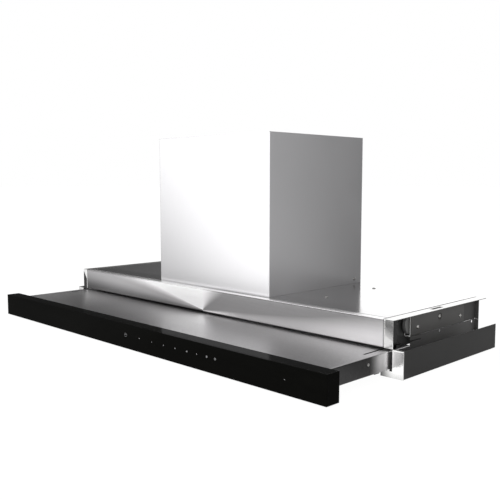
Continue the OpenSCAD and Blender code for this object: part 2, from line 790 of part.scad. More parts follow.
// Tray pan: the closed underside of the tray, with the lamps' holes
pan_x = wall_in_x - slot_side - sheet_t;
pan_gap = 0.6;
pan_z = tray_foot_z + pan_gap;
lamp_in = 46;
lamp_rim = 3;
lamp_y = panel_back_y + lamp_in;
lamp_hole_r = lamp_r + lamp_rim;
module tray_pan() {
    color(galvanised) difference() {
        block([-pan_x, panel_back_y, pan_z], [pan_x, tray_rear_y - 2 * sheet_t, tray_top_z - sheet_t]);
        block([-pan_x + sheet_t, panel_back_y + sheet_t, pan_z + sheet_t],
            [pan_x - sheet_t, tray_rear_y - 3 * sheet_t, tray_top_z]);
        for (side = [-1, 1]) rod_z(lamp_hole_r, pan_z - over, pan_z + 2 * over, side * lamp_x, lamp_y);
    }
}

// Lamps
lamp_flange_w = 4;
lamp_flange_r = lamp_hole_r + lamp_flange_w;
lamp_flange_t = 1;
lamp_h = 14;
lamp_t = 1.5;
module lamp_bodies() {
    color(steel) for (side = [-1, 1]) translate([side * lamp_x, lamp_y, 0]) rotate_extrude() polygon([
        [lamp_r + side_gap, pan_z - lamp_flange_t], [lamp_flange_r, pan_z - lamp_flange_t],
        [lamp_flange_r, pan_z], [lamp_hole_r, pan_z], [lamp_hole_r, pan_z + lamp_h], [0, pan_z + lamp_h],
        [0, pan_z + lamp_h - lamp_t], [lamp_r + side_gap, pan_z + lamp_h - lamp_t]]);
}
module lamp_lenses() {
    color("white") for (side = [-1, 1])
        rod_z(lamp_r, pan_z - lamp_flange_t / 2, pan_z + lamp_h - lamp_t, side * lamp_x, lamp_y);
}

// Hangers
hanger_foot_y = tray_rear_y - hanger_foot_len - 2 * sheet_t;
hanger_end_y = roller_rear_y + hanger_end;
hanger_top_z = roof_z - hanger_top_gap;
hanger_low_y = tray_rear_y + run_gap;
hanger_chamfer = 10;
module hanger() {
    color(steel) {
        difference() {
            along_x(hanger_x - hanger_t, hanger_x) polygon([
                [hanger_foot_y, tray_top_z], [hanger_low_y, tray_top_z],
                [hanger_low_y, tray_top_z - hanger_drop], [hanger_end_y, tray_top_z - hanger_drop],
                [hanger_end_y, hanger_top_z], [hanger_foot_y + hanger_chamfer, hanger_top_z],
                [hanger_foot_y, hanger_top_z - hanger_chamfer]]);
            for (y = [roller_front_y, roller_rear_y])
                rod_x(pin_r, hanger_x - hanger_t - over, hanger_x + over, y, roller_z);
        }
        block([hanger_x - hanger_foot_w, hanger_foot_y, tray_top_z],
            [hanger_x - hanger_t, hanger_foot_y + hanger_foot_len, tray_top_z + hanger_t]);
    }
}
module roller_pins() {
    color("white") for (side = [-1, 1], y = [roller_front_y, roller_rear_y]) on_side(side) {
        rod_x(pin_r, hanger_x - hanger_t, roller_out_x + side_gap, y, roller_z);
        rod_x(pin_head_r, hanger_x - hanger_t - pin_head_t, hanger_x - hanger_t, y, roller_z);
        rod_x(pin_head_r, roller_out_x + side_gap, roller_out_x + side_gap + pin_head_t, y, roller_z);
    }
}

// Rollers that run in the track
roller_edge = 0.8;
roller_dish = 1;
module roller(side, y) {
    w = roller_out_x - roller_in_x;
    color(nylon) on_side(side) translate([roller_in_x, y, roller_z]) rotate([0, 90, 0])
        rotate_extrude() polygon([[pin_r + shaft_gap, 0], [pin_r + 3 * roller_edge, 0],
            [pin_r + 4 * roller_edge, roller_dish], [roller_r - 5 * roller_edge, roller_dish],
            [roller_r - 4 * roller_edge, 0], [roller_r - roller_edge, 0], [roller_r, roller_edge],
            [roller_r, w - roller_edge], [roller_r - roller_edge, w], [pin_r + shaft_gap, w]]);
}

// Pads under the folds of the tray's side plates
module tray_pads() {
    color(black) for (side = [-1, 1]) on_side(side)
        block([tray_x - pad_w, pad_y, tray_foot_z - pad_t],
            [tray_x - fold_r, pad_y + pad_len, tray_foot_z]);
}

// Rivets
rivet_r = 2.4;
rivet_h = 0.6;
rivet_top_share = 0.8;
rivet_edge_share = 0.7;
rivet_in = 98.3;
rivet_down = 10.8;
rivet_y = panel_back_y + rivet_in;
rivet_z = tray_top_z - rivet_down;
module rivet() {
    rotate_extrude($fn = 24) polygon([[0, 0], [rivet_r, 0],
        [rivet_r * rivet_top_share, rivet_h * rivet_edge_share], [0, rivet_h]]);
}
module tray_rivets() {
    color("white") for (side = [-1, 1]) on_side(side) {
        translate([tray_x, rivet_y, rivet_z]) rotate([0, 90, 0]) rivet();
        for (y = [hanger_foot_y + hanger_foot_len / 4, hanger_foot_y + 3 * hanger_foot_len / 4])
            translate([hanger_x - hanger_t - hanger_foot_w / 2, y, tray_top_z + hanger_t]) rivet();
    }
}

// Front panel: glass, housing, end caps, touch board with its sensor pads, and bumpers
panel_top_z = panel_z + panel_h;
end_t = 1.5;
module front_glass() {
    color(black) block([-side_x, front_y, panel_z], [side_x, front_y + glass_t, panel_top_z]);
}
module panel_housing() {
    color(black) along_x(-side_x + end_t, side_x - end_t) difference() {
        translate([front_y + glass_t, panel_z]) square([panel_d - glass_t, panel_h]);
        translate([front_y + glass_t - over, panel_z + housing_t])
            square([panel_d - glass_t - housing_t + over, panel_h - 2 * housing_t]);
    }
}
module panel_ends() {
    color(black) for (side = [-1, 1]) on_side(side) {
        block([side_x - end_t, front_y + glass_t, panel_z], [side_x, panel_back_y, panel_top_z]);
        block([side_x - end_t - 2 * housing_t, front_y + glass_t + side_gap,
            panel_z + housing_t + side_gap],
            [side_x - end_t, panel_back_y - housing_t - side_gap, panel_top_z - housing_t - side_gap]);
    }
}
touch_first_x = 2.2;
touch_step = 26.5;
touch_pad_r = 4.5;
touch_pad_t = 2.4;
touch_up = 26.3;
touch_z = panel_z + touch_up;
touch_board_h = 22;
touch_edge = 14;
module touch_board() {
    y = front_y + glass_t + touch_pad_t;
    last = touch_first_x + (touch_count - 1) * touch_step;
    color("darkgreen") block([touch_first_x - touch_edge, y, touch_z - touch_board_h / 2],
        [last + touch_edge, y + board_t, touch_z + touch_board_h / 2]);
    color("darkgreen") for (x = [touch_first_x, last])
        rod_y(touch_pad_r, y + board_t, panel_back_y - housing_t, x, touch_z);
}
module touch_pads() {
    color("gray") for (k = [0:touch_count - 1])
        rod_y(touch_pad_r, front_y + glass_t, front_y + glass_t + touch_pad_t,
            touch_first_x + k * touch_step, touch_z);
}
bumper_r = 4;
bumper_shares = [0.3, 0.75];
module panel_bumpers() {
    color(nylon) for (side = [-1, 1], share = bumper_shares)
        rod_y(bumper_r, panel_back_y, panel_back_y + shut_gap - side_gap, side * (side_x + strip_x) / 2,
            share * frame_h);
}

// Grease filters: a rim with two pivots, a mesh and a sliding latch each
rim_w = 10;
rim_t = 1;
latch_w = 60;
latch_deep = 26;
latch_grip_t = 2;
latch_slack = 5;
mesh_t = 1.4;
mesh_pitch = 12;
module filter_rim(side) {
    x = side * filter_x;
    w = filter_w / 2;
    color("white") {
        difference() {
            block([x - w, filter_front_y, seat_z], [x + w, filter_rear_y, seat_z + filter_t]);
            block([x - w + rim_t, filter_front_y + rim_t, seat_z + rim_t],
                [x + w - rim_t, filter_rear_y - rim_t, seat_z + filter_t - rim_t]);
            block([x - w + rim_w, filter_front_y + rim_w, seat_z - over],
                [x + w - rim_w, filter_rear_y - rim_w, seat_z + filter_t + over]);
            block([x - bolt_w / 2 - side_gap, filter_front_y - over, bolt_z - side_gap],
                [x + bolt_w / 2 + side_gap, filter_front_y + rim_w, bolt_z + bolt_t + side_gap]);
        }
        for (x0 = [x - w - filter_play - sheet_t, x + w])
            rod_x(pivot_r, x0, x0 + filter_play + sheet_t, pivot_y, pivot_z);
    }
}
function wave(x0, x1, z0, z1) = let (n = 2 * round((x1 - x0) / mesh_pitch))
    [for (k = [0:n]) [x0 + (x1 - x0) * k / n, k % 2 == 0 ? z0 : z1]];
module filter_mesh(side) {
    x = side * filter_x;
    w = filter_w / 2 - rim_t;
    low = wave(x - w, x + w, seat_z + rim_t, seat_z + filter_t - rim_t - mesh_t);
    color("silver") difference() {
        along_y(filter_front_y + rim_t, filter_rear_y - rim_t)
            polygon(concat(low, reversed([for (q = low) q + [0, mesh_t]])));
        block([x - latch_w / 2 - side_gap, filter_front_y, seat_z], [x + latch_w / 2 + side_gap,
            filter_front_y + rim_w + latch_deep + latch_slack, seat_z + filter_t]);
    }
}
module filter_latch(side) {
    x = side * filter_x;
    y0 = filter_front_y + rim_w + side_gap;
    color(black) {
        block([x - bolt_w / 2, filter_front_y - bolt_reach, bolt_z],
            [x + bolt_w / 2, y0 + latch_grip_t, bolt_z + bolt_t]);
        difference() {
            block([x - latch_w / 2, y0, seat_z + rim_t],
                [x + latch_w / 2, y0 + latch_deep, seat_z + filter_t - rim_t]);
            block([x - latch_w / 2 + latch_grip_t, y0 + latch_grip_t, seat_z],
                [x + latch_w / 2 - latch_grip_t, y0 + latch_deep - latch_grip_t, bolt_z + bolt_t]);
        }
    }
}

on_side(-1) side_channel();  // side_channel_left
on_side(1) side_channel();  // side_channel_right
on_side(-1) roller_track();  // roller_track_left
on_side(1) roller_track();  // roller_track_right
on_side(-1) side_bracket();  // side_bracket_left
on_side(1) side_bracket();  // side_bracket_right
on_side(-1) corner_piece();  // corner_left
on_side(1) corner_piece();  // corner_right
front_rail();
top_panel();
back_panel();
rear_frame();
filter_seat();
front_glides();
chimney_wrap();
chimney_back();
chimney_top();
outlet_collar();
outlet_duct();
scroll_wrap();
scroll_side(-1);  // scroll_side_left
scroll_side(1);  // scroll_side_right
blower_feet();
motor();
motor_mount();
control_box();
control_board();
capacitor();
cable_gland();
side_screws();
top_screws();
tray_top();
tray_pan();
front_glass();
panel_housing();
panel_ends();
touch_board();
touch_pads();
lamp_bodies();
lamp_lenses();
on_side(-1) hanger();  // hanger_left
on_side(1) hanger();  // hanger_right
roller_pins();
tray_pads();
panel_bumpers();
tray_rivets();
roller(-1, roller_front_y);  // roller_left_front
roller(-1, roller_rear_y);  // roller_left_rear
roller(1, roller_front_y);  // roller_right_front
roller(1, roller_rear_y);  // roller_right_rear
impeller();
motor_shaft();
flap(180, knuckle_shares[0]);  // flap_front
flap(0, knuckle_shares[1]);  // flap_rear
filter_rim(-1);  // filter_rim_left
filter_rim(1);  // filter_rim_right
filter_mesh(-1);  // filter_mesh_left
filter_mesh(1);  // filter_mesh_right
filter_latch(-1);  // filter_latch_left
filter_latch(1);  // filter_latch_right
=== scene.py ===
"""Dresses the pull out range hood: a finish on every piece, filter mesh, touch symbols, light and camera.

Lengths are in metres in the CAD model's frame: X across the hood, +Y to the wall, +Z up.
"""

import math

import bpy
import numpy as np
from mathutils import Euler, Matrix, Vector


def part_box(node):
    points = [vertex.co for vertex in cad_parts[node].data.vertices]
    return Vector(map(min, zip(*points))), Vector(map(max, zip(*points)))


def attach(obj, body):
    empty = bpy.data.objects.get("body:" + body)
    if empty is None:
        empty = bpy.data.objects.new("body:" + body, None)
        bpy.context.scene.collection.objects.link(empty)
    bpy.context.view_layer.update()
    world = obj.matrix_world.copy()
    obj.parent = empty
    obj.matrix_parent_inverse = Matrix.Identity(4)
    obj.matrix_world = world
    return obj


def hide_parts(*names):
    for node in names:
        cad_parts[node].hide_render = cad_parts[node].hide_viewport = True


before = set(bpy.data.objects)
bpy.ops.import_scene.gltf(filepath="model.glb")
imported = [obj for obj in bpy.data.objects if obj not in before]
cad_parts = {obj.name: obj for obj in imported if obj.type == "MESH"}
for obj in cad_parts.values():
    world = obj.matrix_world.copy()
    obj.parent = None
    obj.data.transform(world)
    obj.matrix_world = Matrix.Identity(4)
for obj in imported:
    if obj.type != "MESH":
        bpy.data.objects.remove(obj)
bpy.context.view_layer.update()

SIDES = ("left", "right")

# The foot of the front rail: finishes, touch symbols and the camera take their heights from it
rail_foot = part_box("front_rail")[0].z


# Finishes: node maths written as Python expressions

class Wire:
    """A node's output. Operators on it add Math nodes to the same finish."""

    def __init__(self, finish, socket):
        self.finish = finish
        self.socket = socket

    def maths(self, operation, *values):
        return self.finish.node("ShaderNodeMath", {"operation": operation}, dict(enumerate(values)))

    def __add__(self, other):
        return self.maths("ADD", self, other)

    def __sub__(self, other):
        return self.maths("SUBTRACT", self, other)

    def __rsub__(self, other):
        return self.maths("SUBTRACT", other, self)

    def __mul__(self, other):
        return self.maths("MULTIPLY", self, other)

    def __truediv__(self, other):
        return self.maths("DIVIDE", self, other)

    __radd__ = __add__
    __rmul__ = __mul__

    def above(self, level):
        return self.maths("GREATER_THAN", self, level)

    def below(self, level):
        return self.maths("LESS_THAN", self, level)

    def most(self, other):
        return self.maths("MAXIMUM", self, other)

    def size(self):
        return self.maths("ABSOLUTE", self)

    def swing(self, width):
        """Noise from 0 to 1 turned into a swing about 0, width from end to end."""
        return (self - 0.5) * width

    def ramp(self, lo, hi, out_lo=0.0, out_hi=1.0):
        """Eases from out_lo at lo to out_hi at hi, and stays level outside them."""
        return self.finish.node("ShaderNodeMapRange", {"interpolation_type": "SMOOTHSTEP"},
                                {"Value": self, "From Min": lo, "From Max": hi,
                                 "To Min": out_lo, "To Max": out_hi})


class Finish:
    """A material or world whose nodes are added by one method."""

    def __init__(self, owner):
        owner.use_nodes = True
        self.owner = owner
        self.tree = owner.node_tree
        self.tree.nodes.clear()

    def node(self, kind, settings=None, inputs=None, output=0):
        """Adds a node: its settings first, then the values or wires of its sockets."""
        n = self.tree.nodes.new(kind)
        for key, value in (settings or {}).items():
            if key == "stops":
                while len(n.color_ramp.elements) < len(value):
                    n.color_ramp.elements.new(1.0)
                for element, (place, level) in zip(n.color_ramp.elements, value):
                    element.position = place
                    element.color = (level, level, level, 1.0)
            else:
                setattr(n, key, value)
        for key, value in (inputs or {}).items():
            if isinstance(value, Wire):
                self.tree.links.new(value.socket, n.inputs[key])
            elif isinstance(value, (tuple, list)) and len(value) == 3 and n.inputs[key].type == "RGBA":
                n.inputs[key].default_value = (*value, 1.0)
            else:
                n.inputs[key].default_value = value
        return Wire(self, n.outputs[output]) if len(n.outputs) else n

    def place(self):
        """The object's own coordinates, in metres."""
        return self.node("ShaderNodeTexCoord", output="Object")

    def axes(self, vector=None):
        """The three parts of a vector, by default of the object's coordinates."""
        split = self.node("ShaderNodeSeparateXYZ", None, {0: vector or self.place()})
        return [Wire(self, s) for s in split.socket.node.outputs]

    def vector(self, operation, *values, output=0):
        return self.node("ShaderNodeVectorMath", {"operation": operation}, dict(enumerate(values)), output)

    def noise(self, stretch, detail=2.0, rough=0.5, shift=0.0):
        """Noise with stretch cells to the metre along X, Y and Z. A single number serves all three."""
        if not isinstance(stretch, tuple):
            stretch = (stretch, stretch, stretch)
        spot = self.vector("MULTIPLY_ADD", self.place(), stretch, (shift, shift * 0.7, shift * 1.3))
        return self.node("ShaderNodeTexNoise", {"noise_dimensions": "3D"},
                         {"Vector": spot, "Scale": 1.0, "Detail": detail, "Roughness": rough})

    def cells(self, scale, feature="F1", output="Distance"):
        """Distance to, or colour of, scattered points, scale cells to the metre."""
        return self.node("ShaderNodeTexVoronoi", {"feature": feature},
                         {"Vector": self.place(), "Scale": scale}, output)

    def level_of(self, colour):
        """One grey level out of a colour."""
        return self.node("ShaderNodeSeparateColor", None, {0: colour})

    def blend(self, a, b, share):
        """Colour a turning into colour b as share goes from 0 to 1."""
        return self.node("ShaderNodeMix", {"data_type": "RGBA"}, {0: share, 6: a, 7: b}, 2)

    def scaled(self, colour, level):
        """A colour made lighter or darker by a level that varies."""
        return self.node("ShaderNodeVectorMath", {"operation": "SCALE"}, {0: colour, "Scale": level})

    def soft_edges(self, radius):
        """The surface's normal with each edge rounded over by radius."""
        return self.node("ShaderNodeBevel", {"samples": 6}, {"Radius": radius})

    def brushed(self, normal, across, strength):
        """Tilts the normal across the brushing by a share of the vector across."""
        tilt = self.scaled(across, strength)
        return self.vector("NORMALIZE", self.vector("ADD", normal, tilt))

    def bump(self, height, strength, depth, edge=0.0):
        """Small relief of a depth in metres, over edges rounded by edge."""
        inputs = {"Strength": strength, "Distance": depth, "Height": height}
        if edge:
            inputs["Normal"] = self.soft_edges(edge)
        return self.node("ShaderNodeBump", None, inputs)

    def surface(self, **inputs):
        """Ends the material in one Principled shader."""
        named = {key.replace("_", " "): value for key, value in inputs.items()}
        shader = self.node("ShaderNodeBsdfPrincipled", None, named)
        self.node("ShaderNodeOutputMaterial", None, {"Surface": shader})
        return self.owner


def material(name):
    """A new material, ready for its nodes."""
    return Finish(bpy.data.materials.new(name))


def dress(finish, *nodes):
    """Gives CAD nodes a finish."""
    for name in nodes:
        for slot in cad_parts[name].material_slots:
            slot.material = finish


def both(*stems):
    """The names of the left and the right piece of each stem."""
    return [f"{stem}_{side}" for stem in stems for side in SIDES]


# Metal sheets

# Tints of the brushed steels, and the cells to the metre of their fine scratches
SHEET_TINT = (1.0, 0.986, 0.996)
RAIL_TINT = (1.0, 0.984, 0.996)
END_TINT = (1.0, 0.997, 0.99)
BRUSHING = (170.0, 9000.0, 9000.0)


def brush_marks(f):
    """The scratches of brushing along X and the streaks that they gather into, as noise."""
    return f.noise(BRUSHING, 0.0), f.noise((3.0, 300.0, 300.0), 3.0, 0.6, 3.0)


def smudges(f):
    """Finger smudges, a hand wide, as noise."""
    return f.noise(7.0, 3.0, 0.55, 11.0)


def coating(f):
    """The fine grain and the slow clouds of a thin satin coat, as noise."""
    return f.noise(900.0), f.noise(14.0, 4.0, 0.6, 2.0)


def top_steel(name):
    """Smooth sheet, brushed along the rail, with a painted reflection: palest at its left, darker in front
    of the chimney.
    """
    f = material(name)
    x, y, _ = f.axes()
    # Painted reflection: paler towards the left, darker in front of the chimney, a little paler towards the
    # right
    left = x.ramp(-0.10, 0.05, 0.86, 0.30)
    front = y.ramp(-0.02, 0.02, 0.75, 1.0)
    right = x.ramp(0.05, 0.35, 0.0, 0.16)
    fine = f.noise(BRUSHING, 1.0)
    streak = f.noise((6.8, 360.0, 360.0), 3.0, 0.6, 3.0)
    smudge = smudges(f)
    shade = streak.swing(0.04) + fine.swing(0.05) + smudge.swing(0.03) + left * front + right
    return f.surface(Base_Color=f.scaled(SHEET_TINT, shade), Metallic=1.0,
                     Roughness=smudge.swing(0.12) + streak.swing(0.05) + 0.15,
                     Normal=f.brushed(f.soft_edges(0.0005), (0.0, 1.0, 0.0), fine.swing(0.10)))


def tray_steel(name):
    """Brushed and finely speckled tray sheet with a painted reflection, palest at its left, and a soft
    painted patch of light on its top.

    The patch starts below the middle of the rail, drifts to +X by 0.95 of its way to the front panel and
    fades. The side plates carry painted shade, dark at the front and paler under the rail, and the slots
    are painted dark inside as shade.
    """
    rail_face, drift = -0.046, 0.95
    side_plate, top_fold = 0.4234, rail_foot - 0.0037
    slot_x, slot_half, slot_front = 0.4090, 0.0021, -0.1000
    f = material(name)
    x, y, z = f.axes()
    away = rail_face - y
    # Painted highlight: a soft patch of light on the top, starting below the middle of the rail
    patch = ((x - away * drift).size() / (away * 0.25 + 0.018)).ramp(0.0, 1.0, 1.0, 0.0)
    patch = patch * away.ramp(0.01, 0.10, 1.0, 0.0)
    # Painted reflection: the top palest at its left, a little paler in the middle, darker at its right end
    across = x.ramp(-0.42, -0.17, 0.72, 0.29) + x.ramp(-0.12, 0.12, 0.0, 0.085)
    top = (patch * 0.14 + across) * x.ramp(0.20, 0.42, 1.0, 0.76)
    # Painted shade and highlight on the side plates: dark at the front, paler under the rail and towards
    # the top
    flank_shade = y.ramp(-0.108, -0.078, 0.033, 0.36) + y.ramp(-0.074, -0.060, 0.0, 0.30)
    flank_shade = flank_shade * (z - rail_foot).ramp(-0.032, -0.004, 0.95, 1.35)
    side = x.size().above(side_plate) * z.below(top_fold)
    # Painted shade: the slots dark inside
    slot = (x.size() - slot_x).size().below(slot_half) * y.above(slot_front)
    fine = f.noise((170.0, 9000.0, 170.0), 0.0)
    streak = f.noise((4.0, 360.0, 4.0), 3.0, 0.6, 3.0)
    smudge = smudges(f)
    speck = f.noise((260.0, 420.0, 260.0), 2.0, 0.6, 7.0)
    wear = streak.swing(0.08) + fine.swing(0.10) + smudge.swing(0.08) + speck.swing(0.30) + 1.0
    shade = (top * (1.0 - side) + flank_shade * side) * wear * (1.0 - slot * 0.95)
    return f.surface(Base_Color=f.scaled(SHEET_TINT, shade), Metallic=1.0,
                     Roughness=smudge.swing(0.12) + streak.swing(0.05) + 0.32,
                     Normal=f.brushed(f.soft_edges(0.0005), (0.0, 1.0, 0.0), fine.swing(0.4)))


def chimney_steel(name):
    """Smooth sheet with a faint upright grain and finger smudges.

    wide, tall and deep run from 0 to 1 over the chimney. Painted shade darkens the front towards its lower
    left corner, and both sides a little towards the wall.
    """
    f = material(name)
    x, y, z = f.axes()
    low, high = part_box("chimney_wrap")
    wide = (x - low.x) / (high.x - low.x)
    tall = (z - low.z) / (high.z - low.z)
    deep = (y - low.y) / (high.y - low.y)
    front = y.below(low.y + 0.002)
    fine = f.noise((2600.0, 2600.0, 25.0), 1.0)
    cloud = f.noise(5.0, 4.0, 0.6, 5.0)
    shade = cloud.swing(0.05) + fine.swing(0.03) + 0.70
    # Painted shade: the front darker towards its lower left corner
    shade = shade * (1.0 - (wide * 0.7 + tall).ramp(0.0, 1.05, 0.34, 0.0) * front)
    # Painted shade: darker towards the wall
    shade = shade * deep.ramp(-0.2, 1.2, 1.04, 0.82)
    return f.surface(Base_Color=f.scaled((0.99, 0.983, 1.0), shade), Metallic=1.0,
                     Roughness=cloud.swing(0.16) + 0.30,
                     Normal=f.brushed(f.soft_edges(0.0006), (1.0, 1.0, 0.0), fine.swing(0.10)))


def rail_steel(name):
    """Brushed steel with a painted highlight: a fan of light spreading from one point of the rail's foot.

    run and rise are measured from that point, high from the foot. Left of the point the light goes by
    rise/back and is full above full_slope. Right of it the light fades with run/rise, and a low wedge along
    the foot widens with run. A painted sheen grows upwards over both, and the top fold has a painted bright
    lip. Painted shade darkens the crease under the lip, the foot's far left and the rail's two ends.
    """
    apex_x, apex_z, full_slope = -0.0015, rail_foot + 0.0027, 0.264
    rail_end, crease_z, lip_z, lip_y = 0.4112, rail_foot + 0.0412, rail_foot + 0.0428, -0.0442
    f = material(name)
    x, y, z = f.axes()
    run = x - apex_x
    rise = z - apex_z
    high = z - rail_foot
    back = (run * -1.0).most(0.0004)
    slope = rise / back / full_slope
    # Painted highlight: the fan of light left and right of its point, and the low wedge along the foot
    left = (slope.ramp(0.0, 0.40, 0.02, 0.30) + slope.ramp(0.40, 1.02, 0.0, 0.86)) * run.below(0.0)
    lean = run / rise.most(0.0006)
    right = (lean.ramp(-0.35, 1.7, 0.88, 0.0) + 0.13) * run.above(0.0)
    wedge = (high / (run * 0.074 + 0.0022)).ramp(0.35, 1.7, 1.0, 0.0) * run.above(0.0)
    wedge = wedge * (run.ramp(0.0, 0.12, 0.80, 0.34) + run.ramp(0.20, 0.42, 0.0, 0.34))
    wedge = wedge + run.ramp(0.25, 0.42, 0.0, 0.10)
    # Painted reflection: a sheen growing upwards; the top fold's lip is a painted highlight
    rising_sheen = high.ramp(0.0095, 0.0395) * back.ramp(0.16, 0.42, 0.14, 0.19)
    lip = z.above(lip_z) * y.below(lip_y)
    light = left.most(right).most(wedge).most(rising_sheen).most(lip * 0.75)
    # Painted shade: the foot's far left, the rail's two ends and the crease under the lip
    foot_left_shade = back.ramp(0.15, 0.40) * high.ramp(0.004, 0.030, 1.0, 0.0)
    end = x.above(rail_end) * 0.45 + x.below(-rail_end) * 0.80
    crease = z.above(crease_z) * (1.0 - lip) * 0.45
    fine, streak = brush_marks(f)
    smudge = smudges(f)
    shade = light * 0.90 + streak.swing(0.03) + fine.swing(0.04) + 0.165 - foot_left_shade * 0.09
    shade = shade * (1.0 - end) * (1.0 - crease)
    return f.surface(Base_Color=f.scaled(RAIL_TINT, shade), Metallic=1.0,
                     Roughness=smudge.swing(0.08) + streak.swing(0.05) + 0.33,
                     Normal=f.brushed(f.soft_edges(0.0006), (0.0, 1.0, 1.0), fine.swing(0.25)))


def corner_steel(name):
    """Brushed corner pieces at the rail's ends; wide and tall run from 0 to 1 over each.

    The right one has a painted reflection: white below a line that falls outwards, greyer above it. The
    left
    one has painted shade: dim below a line that rises outwards. The inner edge of each stays pale, and the
    return at the back is dark.
    """
    inner_edge, piece_wide, piece_tall, return_front = 0.4130, 0.0166, 0.0434, -0.0548
    f = material(name)
    x, y, z = f.axes()
    wide = (x.size() - inner_edge) / piece_wide
    tall = (z - rail_foot) / piece_tall
    right = x.above(0.0)
    # Painted reflection on the right piece, painted shade on the left one, each split along a sloping line
    line = tall + wide * 0.21
    grey = (line.ramp(0.44, 0.50, 0.0, 0.45) + line.ramp(0.50, 0.85, 0.0, 0.55)) * wide.above(0.12) * right
    dim = 1.0 - (tall - wide * 0.5 - 0.45).ramp(-0.05, 0.05).most(wide.below(0.15) * 0.75)
    dim = dim * (1.0 - right)
    back = y.above(return_front)
    fine, streak = brush_marks(f)
    shade = (1.0 - grey * 0.63 - dim * 0.95) * (1.0 - back) + back * 0.06
    return f.surface(Base_Color=f.scaled(END_TINT, shade + streak.swing(0.03)), Metallic=1.0,
                     Roughness=streak.swing(0.08) + 0.16,
                     Normal=f.brushed(f.soft_edges(0.0004), (0.0, 1.0, 1.0), fine.swing(0.15)))


def channel_sheet(name):
    """Side channel: bright brushed strip and toe in front, dark coated outside, paler inside as painted
    light.

    The strip has a painted reflection, a shade darker above a line that falls outwards, and painted shade
    at its top fold; the toe fades inwards with painted shade.
    """
    strip_back, strip_inner, strip_wide = -0.0552, 0.4295, 0.0195
    toe_inner, toe_outer = 0.4060, 0.4340
    outer_wall, foot_top, top_fold = 0.4484, 0.0003, rail_foot - 0.0014
    f = material(name)
    x, y, z = f.axes()
    out = x.size()
    strip = y.below(strip_back)
    wide = (out - strip_inner) / strip_wide
    # Painted reflection: the strip a shade darker above a line that falls outwards
    darker = (z / rail_foot + wide * 0.30 - 0.65).ramp(-0.06, 0.02) * 0.05
    # Painted shade: the toe darker inwards, and the strip's top fold darker
    toe = out.ramp(toe_inner, toe_outer, 0.10, 1.0)
    fold = 1.0 - z.above(top_fold) * 0.6
    # Painted light: the coat paler inside the channel, where it lies in shade
    inside = out.below(outer_wall) * z.above(foot_top) * out.ramp(0.405, 0.4100, 0.45, 1.0)
    grain, cloud = coating(f)
    fine, streak = brush_marks(f)
    level = cloud.swing(0.35) + grain.swing(0.25) + 1.0
    # The coat's colour outside, and inside it the paler painted light
    coat = f.blend(f.scaled((0.022, 0.0215, 0.021), level), f.scaled((0.12, 0.1185, 0.117), level), inside)
    bare_and_lit = f.scaled(END_TINT, (1.0 - darker) * toe * fold + streak.swing(0.04))
    tilt = fine.swing(0.06) * strip + grain.swing(0.05) * (1.0 - strip)
    return f.surface(Base_Color=f.blend(coat, bare_and_lit, strip), Metallic=strip * 0.75 + 0.25,
                     Roughness=cloud.swing(0.2) * (1.0 - strip) + 0.42 - strip * 0.22,
                     Normal=f.brushed(f.soft_edges(0.0004), (0.0, 1.0, 1.0), tilt))


def dark_sheet(name, colour, rough=0.42, metallic=0.35, bare_and_lit=None,
               bare_and_lit_colour=(0.47, 0.468, 0.463), shine=1.0):
    """Plain grey sheet with a thin satin coat.

    The parts that the mask picks take their own colour and are metallic by shine: steel left without the
    coat, and cut ends painted pale as a painted highlight.
    """
    f = material(name)
    grain, cloud = coating(f)
    colour = f.scaled(colour, cloud.swing(0.35) + grain.swing(0.25) + 1.0)
    # Picked parts: steel left without the coat, and cut ends painted pale as a painted highlight
    if bare_and_lit:
        share = bare_and_lit(*f.axes())
        colour = f.blend(colour, f.scaled(bare_and_lit_colour, cloud.swing(0.1) + 1.0), share)
        metallic = share * (shine - metallic) + metallic
        rough = share * (0.22 - rough) + rough
    return f.surface(Base_Color=colour, Metallic=metallic, Roughness=cloud.swing(0.2) + rough,
                     Normal=f.bump(grain, 0.12, 0.0002, 0.0005))


def flange_top(x, y, z):
    """The bracket's level top, short of its cut edge and of a band at its seam and its slot's rim, which
    stay dark as painted shade; dimmer at the left, as painted shade.
    """
    top_z, seam, cut_edge = rail_foot + 0.0431, 0.4125, 0.4294
    slot_x, slot_y, rim_x, rim_y = 0.41955, 0.0835, 0.0040, 0.0170
    out = x.size()
    # Painted shade: the band along the seam and round the slot's rim, and the left top dimmer
    slot = (out - slot_x).size().below(rim_x) * (y - slot_y).size().below(rim_y)
    level = z.above(top_z) * out.below(cut_edge) * out.above(seam)
    return level * (1.0 - slot) * x.ramp(-0.1, 0.1, 0.2, 1.0)


def track_end_highlight(x, y, z):
    """The cut front end of the track, painted pale as a painted highlight."""
    cut = 0.0228
    return y.below(cut)


def pan_side_shade(x, y, z):
    """The pan's outer side walls, painted dark as shade, seen as the dark in the tray's slots."""
    wall = 0.4060
    return x.size().above(wall)


def galvanised_sheet(name, level=0.55, dark=None):
    """Zinc coated sheet: pale grey crystals a few millimetres wide, each with its own shade.

    dark picks the parts that lie in the dark, which get painted shade.
    """
    f = material(name)
    crystal = f.level_of(f.cells(190.0, output="Color"))
    cloud = f.noise(9.0, 4.0, 0.6)
    grain = f.noise(700.0, 2.0, 0.5, 4.0)
    shade = crystal.swing(0.16) + cloud.swing(0.16) + level
    if dark:
        # Painted shade on the parts that lie in the dark
        shade = shade * (1.0 - dark(*f.axes()) * 0.93)
    return f.surface(Base_Color=f.scaled((0.98, 1.0, 1.015), shade), Metallic=0.9,
                     Roughness=crystal.swing(0.14) + cloud.swing(0.12) + 0.42,
                     Normal=f.bump(crystal * 0.4 + grain, 0.10, 0.0003, 0.0005))


